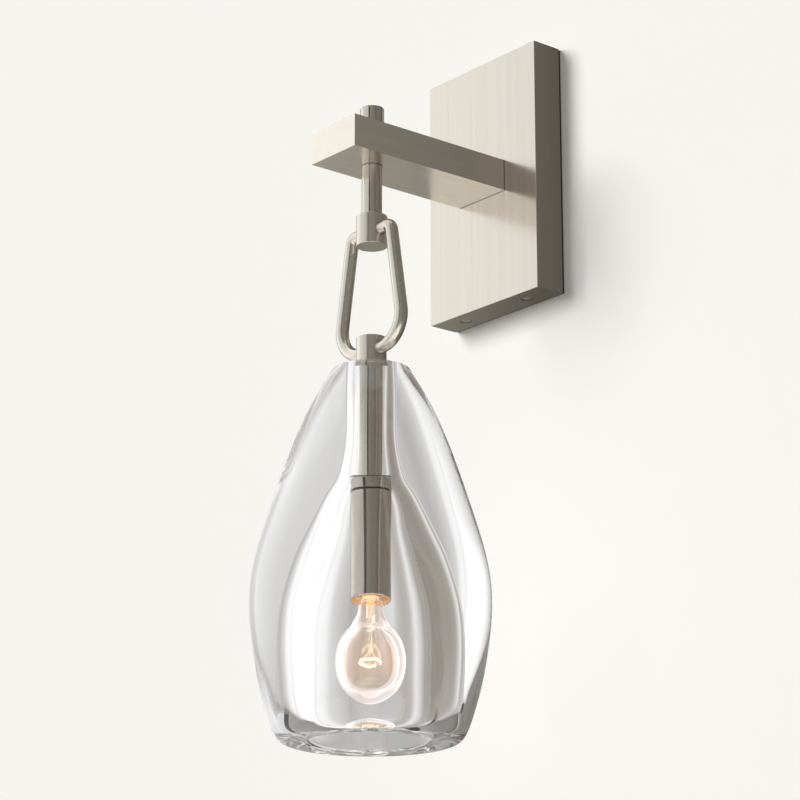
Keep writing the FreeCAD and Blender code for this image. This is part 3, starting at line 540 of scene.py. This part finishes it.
def painted_glow_glass(name, tint, edge_glow, glow, glow_color):
    """Clear glass with painted light in place of the filament's: a painted highlight along its edges,
    brightest on one side.

    The painted highlight fades out up the shoulder, and the painted warm glow of the rest fades with
    the distance from the filament's level.
    """
    made, tree, surface = clear_glass(name, bulb_ior)
    surface.inputs["Base Color"].default_value = tint + (1.0,)
    place = node(tree, "TexCoord").outputs["Object"]
    across = node(tree, "VectorMath", {0: place, 1: painted_glow_side}, operation="DOT_PRODUCT").outputs["Value"]
    middle = stem_y * painted_glow_side[1]
    side = mapped(tree, across, (middle - ball_radius, middle + ball_radius))
    facing = node(tree, "LayerWeight", {"Blend": edge_blend}).outputs["Facing"]
    wider = node(tree, "Math", {0: side, 1: edge_lean, 2: facing}, operation="MULTIPLY_ADD").outputs[0]
    edge = mapped(tree, wider, edge_band, smooth=True)
    height = node(tree, "SeparateXYZ", {"Vector": place}).outputs["Z"]
    kept = mapped(tree, height, shoulder_band, shoulder_levels, smooth=True)
    painted_edge_glow = dimmed(tree, painted_edge_color, product(tree, mapped(tree, side, levels=side_levels), kept))
    above = node(tree, "Math", {0: height, 1: filament_level}, operation="SUBTRACT").outputs[0]
    away = node(tree, "Math", {0: above}, operation="ABSOLUTE").outputs[0]
    warm = [channel * glow / edge_glow for channel in glow_color]
    painted_warm_glow = dimmed(tree, warm + [1.0],
                        mapped(tree, away, (0.0, warm_reach), warm_levels, smooth=True))
    tree.links.new(blended(tree, edge, painted_warm_glow, painted_edge_glow), surface.inputs["Emission Color"])
    surface.inputs["Emission Strength"].default_value = edge_glow
    return made


bulb_line = envelope(0.0, 0.0) + envelope(ball_wall, neck_wall)[::-1]
bulb = turned("bulb", bulb_line, bulb_steps, closed=False)
bulb.data.set_sharp_from_angle(angle=sharp_angle)
bulb.data.materials.append(painted_glow_glass("bulb_glass", (0.98, 0.93, 0.88), edge_glow=0.44, glow=0.05,
                                     glow_color=(1.0, 0.46, 0.2)))
bulb.visible_shadow = False
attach(bulb, "pendant")
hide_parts("bulb_glass")
# The glass mount carries the same painted glow
dress("bulb_mount", painted_glow_glass("mount_glass", (1.0, 0.97, 0.92), edge_glow=0.34, glow=0.34,
                              glow_color=(1.0, 0.8, 0.52)))
nodes["bulb_mount"].visible_shadow = False

# Bulb base: a thin plated shell with a rolled thread, black glass and a blob of solder at its end.
# It is cemented on the bulb's neck and screws into the socket. Its warm glow is painted light.

thread_pitch = 0.0021
thread_depth = 0.00045
base_wall = 0.0003
base_rings = 85
base_steps = 72
painted_base_glow_color = (1.0, 0.48, 0.2, 1.0)
painted_base_glow_strength = 0.3
base_levels = np.linspace(base_low.z, base_high.z, base_rings)
base_line = [(base_radius, level) for level in base_levels]
base_line += [(base_radius - base_wall, level) for level in base_levels[::-1]]
base_shell = turned("base_shell", base_line, base_steps)
for corner in base_shell.data.vertices:
    side = math.hypot(corner.co.x, corner.co.y - stem_y)
    turn = math.atan2(corner.co.y - stem_y, corner.co.x) / (2 * math.pi)
    from_end = min(corner.co.z - base_low.z, base_high.z - corner.co.z)
    fade = min(1.0, from_end / thread_pitch * 2)
    wave = (1 - math.cos(2 * math.pi * (corner.co.z / thread_pitch - turn))) / 2
    inward = 1 - thread_depth * wave * fade / side
    corner.co.x *= inward
    corner.co.y = stem_y + (corner.co.y - stem_y) * inward
plated_base = plain("plated_base", (0.78, 0.70, 0.58), roughness=0.25, metallic=1.0)
base_surface = plated_base.node_tree.nodes["Principled BSDF"]
# Painted light: a warm glow on the plated base
base_surface.inputs["Emission Color"].default_value = painted_base_glow_color
base_surface.inputs["Emission Strength"].default_value = painted_base_glow_strength
base_shell.data.materials.append(plated_base)
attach(base_shell, "pendant")
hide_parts("bulb_base")
dress("base_insulator", plain("base_insulator", (0.03, 0.03, 0.035), roughness=0.15))
dress("tip_contact", plain("solder", (0.7, 0.7, 0.7), roughness=0.35, metallic=1.0))

# Filament: a fine tungsten coil, bent to an open ring on hooks of thin wire.
# The hooks are set in the glass mount, and carry a painted glow where they hold the coil.

# Painted light on the hooks: a warm glow near the filament, in place of its light on the wire
painted_glow_reach = (0.006, 0.016)
painted_glow_color = (1.0, 0.55, 0.22, 1.0)
faded_glow_color = (0.03, 0.02, 0.01, 1.0)
painted_glow_strength = 0.9
wire_color = (0.5, 0.48, 0.45, 1.0)
wire_roughness = 0.3
filament_color = (1.0, 0.6, 0.26, 1.0)
filament_strength = 5.0


def painted_glow_wire(name):
    """Fine wire with a painted glow where it holds the filament, which fades away from it."""
    made, tree, surface = material(name)
    place = node(tree, "TexCoord").outputs["Object"]
    middle = (0.0, stem_y, filament_level)
    away = node(tree, "VectorMath", {0: place, 1: middle}, operation="DISTANCE").outputs["Value"]
    painted_glow_mask = mapped(tree, away, painted_glow_reach, (1.0, 0.0), smooth=True)
    tree.links.new(blended(tree, painted_glow_mask, faded_glow_color, painted_glow_color), surface.inputs["Emission Color"])
    surface.inputs["Emission Strength"].default_value = painted_glow_strength
    surface.inputs["Base Color"].default_value = wire_color
    surface.inputs["Metallic"].default_value = 1.0
    surface.inputs["Roughness"].default_value = wire_roughness
    return made


dress("filament_supports", painted_glow_wire("support_wire"))
filament_sway = 0.0003
filament_reach = 0.007
filament_corners = 9
filament_gap_turn = 0.25
coil_turns = 58
coil_sides = 10
coil_radius = 0.0006
coil_wire = 0.00015

filament_line = bpy.data.curves.new("filament_coil", "CURVE")
filament_line.dimensions = "3D"
filament_line.bevel_depth = coil_wire
filament_line.bevel_resolution = 1
coil = filament_line.splines.new("POLY")
coil_points = coil_turns * coil_sides
coil.points.add(coil_points)
for count in range(coil_points + 1):
    share = count / coil_points
    corner = share * (filament_corners - 1)
    around = 2 * math.pi * (filament_gap_turn + (0.5 + corner) / filament_corners)
    twist = 2 * math.pi * coil_turns * share
    reach = filament_reach + coil_radius * math.cos(twist)
    level = filament_level + filament_sway * math.cos(math.pi * corner) + coil_radius * math.sin(twist)
    coil.points[count].co = (reach * math.cos(around), stem_y + reach * math.sin(around), level, 1.0)
filament = add_object("filament_coil", filament_line)
glow, _, glow_surface = material("filament_glow")
glow_surface.inputs["Emission Color"].default_value = filament_color
glow_surface.inputs["Emission Strength"].default_value = filament_strength
filament_line.materials.append(glow)
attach(filament, "pendant")
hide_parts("filament")

# Room: a pale wall behind the sconce, a pale floor well below it, and a pale room around.
# The wall faces the room only, so that the back of the canopy can be looked at through it.

pale = (0.939, 0.930, 0.896, 1.0)
paint_share = 0.85
wall_light = 0.12
floor_light = 0.6
wall_size = 5.0
wall_gap = 0.0002
floor_size = 12.0
floor_level = -1.6


def pale_material(name, light_share, one_sided):
    """Matt pale paint with a little light of its own, clear from behind where it is one-sided."""
    made, tree, surface = material(name)
    surface.inputs["Base Color"].default_value = [channel * paint_share for channel in pale[:3]] + [1.0]
    surface.inputs["Roughness"].default_value = 1.0
    surface.inputs["Specular IOR Level"].default_value = 0.0
    surface.inputs["Emission Color"].default_value = pale
    surface.inputs["Emission Strength"].default_value = light_share
    if one_sided:
        back = node(tree, "NewGeometry").outputs["Backfacing"]
        clear = node(tree, "BsdfTransparent").outputs[0]
        mixed = node(tree, "MixShader", {0: back, 1: surface.outputs[0], 2: clear})
        tree.links.new(mixed.outputs[0], tree.nodes["Material Output"].inputs["Surface"])
    return made


def panel(name, width, height, place, finish):
    """A flat panel that faces the room, upright along Z unless its place turns it."""
    made = bmesh.new()
    bmesh.ops.create_grid(made, x_segments=1, y_segments=1, size=0.5)
    bmesh.ops.scale(made, vec=(width, height, 1.0), verts=made.verts)
    bmesh.ops.transform(made, matrix=place, verts=made.verts)
    piece = add_mesh(name, made)
    piece.data.materials.append(finish)
    return piece


upright = Matrix.Rotation(math.radians(90), 4, "X")
panel("wall", wall_size, wall_size, Matrix.Translation((0.0, wall_gap, 0.0)) @ upright,
      pale_material("wall_paint", wall_light, one_sided=True))
floor = panel("floor", floor_size, floor_size, Matrix.Translation((0.0, 0.0, floor_level)),
              pale_material("floor_paint", floor_light, one_sided=False))

# The floor's edge would draw a hard line in the thick glass, which shows the ring's grey in its place
floor.visible_diffuse = False
floor.visible_transmission = False

# Studio cloths, out of the camera's sight: a ring round the sconce that metal and glass show, bright
# on the left, with a narrow black edge beside the camera and grey on the right, and two grey cloths
# close to the wall. They light nothing.

cloth_glow = 1.25
cloth_white = (0.75, 0.75, 0.74, 1.0)


def cloth_material(name, stops, round_about=False, lower=None, change=(0.0, 1.0), fade=None,
                   blue_loss=2.8):
    """Plain light of its own, which changes along X in metres, or round the stem in degrees from +X.

    The lower stops hold below the change and the others above it. A fade gives the two levels between
    which the cloth turns white upwards. Warmth takes green away, and blue by its loss times as much.
    It is clear from behind.
    """
    made = bpy.data.materials.new(name)
    made.use_nodes = True
    tree = made.node_tree
    tree.nodes.remove(tree.nodes["Principled BSDF"])
    place = node(tree, "TexCoord").outputs["Object"]
    low, high = stops[0][0], stops[-1][0]
    if round_about:
        centred = node(tree, "Mapping", {"Vector": place, "Location": (0.0, -stem_y, 0.0)}).outputs[0]
        run = node(tree, "TexGradient", {"Vector": centred}, gradient_type="RADIAL").outputs["Fac"]
    else:
        across = node(tree, "SeparateXYZ", {"Vector": place}).outputs["X"]
        run = mapped(tree, across, (low, high))
    height = node(tree, "SeparateXYZ", {"Vector": place}).outputs["Z"]
    color = None
    for row in (lower, stops):
        if not row:
            continue
        ramp = node(tree, "ValToRGB", {"Fac": run})
        marks = ramp.color_ramp.elements
        while len(marks) < len(row):
            marks.new(1.0)
        # The marks keep their order, so all their places come before their colours
        for mark, (position, level, warmth) in zip(marks, row):
            mark.position = (position - low) / (high - low)
        for mark, (position, level, warmth) in zip(marks, row):
            level /= cloth_glow
            mark.color = (level, level * (1 - warmth), level * (1 - blue_loss * warmth), 1.0)
        if color:
            upper = mapped(tree, height, change, smooth=True)
            color = blended(tree, upper, color, ramp.outputs["Color"])
        else:
            color = ramp.outputs["Color"]
    if fade:
        color = blended(tree, mapped(tree, height, fade, smooth=True), color, cloth_white)
    light = node(tree, "Emission", {"Color": color, "Strength": cloth_glow}).outputs[0]
    back = node(tree, "NewGeometry").outputs["Backfacing"]
    clear = node(tree, "BsdfTransparent").outputs[0]
    shown = node(tree, "MixShader", {0: back, 1: light, 2: clear}).outputs[0]
    tree.links.new(shown, tree.nodes["Material Output"].inputs["Surface"])
    return made


def hide_cloth(cloth, glossy, transmission):
    """A cloth lights nothing and shows only in metal, or in and through glass."""
    cloth.visible_camera = False
    cloth.visible_diffuse = False
    cloth.visible_shadow = False
    cloth.visible_glossy = glossy
    cloth.visible_transmission = transmission


ring_stops = [
    (-180, 1.4, 0.0), (-160, 1.4, 0.0), (-150, 1.25, 0.0), (-144, 1.12, 0.0), (-138, 0.98, 0.0),
    (-130, 0.85, 0.0), (-100, 0.72, 0.0), (-74.5, 0.66, 0.0), (-73.5, 0.02, 0.04), (-61.5, 0.02, 0.04),
    (-60.5, 0.34, 0.04), (-40, 0.25, 0.04), (-20, 0.25, 0.04), (3, 0.13, 0.04), (60, 0.6, 0.02),
    (180, 1.0, 0.0),
]
left_end = -74
lower_share = 0.72
ring_lower_stops = [
    (turn, level * lower_share if turn < left_end else level, warmth) for turn, level, warmth in ring_stops
]
ring_change = (-1.1, -0.3)
ring_radius = 3.0
ring_height = 16.0
ring_sides = 96
made = bmesh.new()
bmesh.ops.create_circle(made, segments=ring_sides, radius=ring_radius)
raised = bmesh.ops.extrude_edge_only(made, edges=made.edges[:])["geom"]
raised = [corner for corner in raised if isinstance(corner, bmesh.types.BMVert)]
bmesh.ops.translate(made, vec=(0, 0, ring_height), verts=raised)
bmesh.ops.translate(made, vec=(0, stem_y, -ring_height / 2), verts=made.verts)
bmesh.ops.recalc_face_normals(made, faces=made.faces)
bmesh.ops.reverse_faces(made, faces=made.faces)
ring_cloth = add_mesh("ring_cloth", made)
ring_cloth.data.materials.append(
    cloth_material("ring_cloth", ring_stops, round_about=True, lower=ring_lower_stops,
                   change=ring_change)
)
hide_cloth(ring_cloth, glossy=True, transmission=True)

# The mirror cloth is painted shade for the metal to reflect: darkest just beside the canopy, where the
# wall lies in its shade, grey to the right and white far to the left
mirror_stops = [
    (-2.5, 1.0, 0.0), (-0.34, 0.92, 0.0), (-0.23, 0.33, 0.04), (-0.12, 0.31, 0.05), (-0.05, 0.22, 0.05),
    (0.04, 0.11, 0.05), (0.1, 0.18, 0.05), (0.2, 0.215, 0.05), (2.5, 0.22, 0.05),
]
mirror_distance = 0.0003
mirror_cloth = panel("mirror_cloth", wall_size, wall_size,
                     Matrix.Translation((0.0, -mirror_distance, 0.0)) @ upright,
                     cloth_material("mirror_cloth", mirror_stops))
hide_cloth(mirror_cloth, glossy=True, transmission=False)

glass_stops = [
    (-1.5, 1.05, 0.0), (-0.6, 1.03, 0.0), (-0.44, 0.98, 0.0), (-0.36, 0.9, 0.0), (-0.29, 0.72, 0.0),
    (-0.25, 0.68, 0.01), (-0.2, 0.58, 0.02), (-0.16, 0.48, 0.02), (-0.14, 0.54, 0.02), (-0.11, 0.64, 0.01),
    (-0.075, 0.7, 0.01), (-0.062, 0.85, 0.0), (-0.052, 0.75, 0.01), (-0.045, 0.46, 0.07),
    (-0.024, 0.47, 0.08), (-0.019, 0.86, 0.01), (-0.003, 0.84, 0.01), (0.003, 0.43, 0.1),
    (0.04, 0.3, 0.11), (0.3, 0.25, 0.1), (1.5, 0.5, 0.04),
]
glass_lower_levels = {-0.14: 0.52, -0.11: 0.5, -0.075: 0.47, -0.062: 0.46, -0.052: 0.46}
glass_lower_stops = [
    (across, glass_lower_levels.get(across, level), warmth) for across, level, warmth in glass_stops
]
glass_change = (-0.36, -0.28)
glass_fade = (0.0, 0.5)
glass_blue_loss = 1.9
glass_cloth_size = 3.0
glass_cloth_place = (0.0, -0.04, -0.2)
glass_cloth = panel("glass_cloth", glass_cloth_size, glass_cloth_size,
                    Matrix.Translation(glass_cloth_place) @ upright,
                    cloth_material("glass_cloth", glass_stops, lower=glass_lower_stops,
                                   change=glass_change, fade=glass_fade,
                                   blue_loss=glass_blue_loss))
hide_cloth(glass_cloth, glossy=False, transmission=True)

# Light: the pale room itself, weak on the sconce and white to the eye, and one broad soft lamp from
# the left, in front and above. The hanging group throws no shadow, as none shows in the photo.

room_light = 0.2
key_strength = 3.13
key_spread = 34
key_direction = (0.54, 1.0, -0.42)

room = bpy.data.worlds.new("room")
room.use_nodes = True
bpy.context.scene.world = room
path = node(room.node_tree, "LightPath")
seen = path.outputs["Is Camera Ray"]
for ray in ("Is Glossy Ray", "Is Transmission Ray"):
    seen = node(room.node_tree, "Math", {0: seen, 1: path.outputs[ray]}, operation="MAXIMUM").outputs[0]
air = room.node_tree.nodes["Background"]
air.inputs["Color"].default_value = pale
room.node_tree.links.new(mapped(room.node_tree, seen, levels=(room_light, 1.0)), air.inputs["Strength"])

key = bpy.data.lights.new("key", "SUN")
key.energy = key_strength
key.angle = math.radians(key_spread)
key_lamp = add_object("key", key)
key_lamp.rotation_mode = "QUATERNION"
key_lamp.rotation_quaternion = Vector(key_direction).to_track_quat("-Z", "Y")
key_lamp.visible_glossy = False
key_lamp.visible_transmission = False
for body in ("link", "pendant"):
    for part in frame["record"]["behaviour"]["bodies"][body]:
        nodes[part].visible_shadow = False

# Camera: the photograph's own view, from below and to the right.
# Its place and its lens were fitted to the corners of the canopy and the arm.

camera_place = (1.3828, -1.2416, -0.7079)
camera_direction = (-0.73948, 0.60985, 0.28502)
camera_lens = 123.9
camera_sensor = 36.0

camera_data = bpy.data.cameras.new("camera")
camera_data.sensor_width = camera_sensor
camera_data.lens = camera_lens
camera = add_object("camera", camera_data)
camera.location = camera_place
camera.rotation_mode = "QUATERNION"
camera.rotation_quaternion = Vector(camera_direction).to_track_quat("-Z", "Y")
bpy.context.scene.camera = camera
bpy.context.scene.view_settings.view_transform = "Standard"
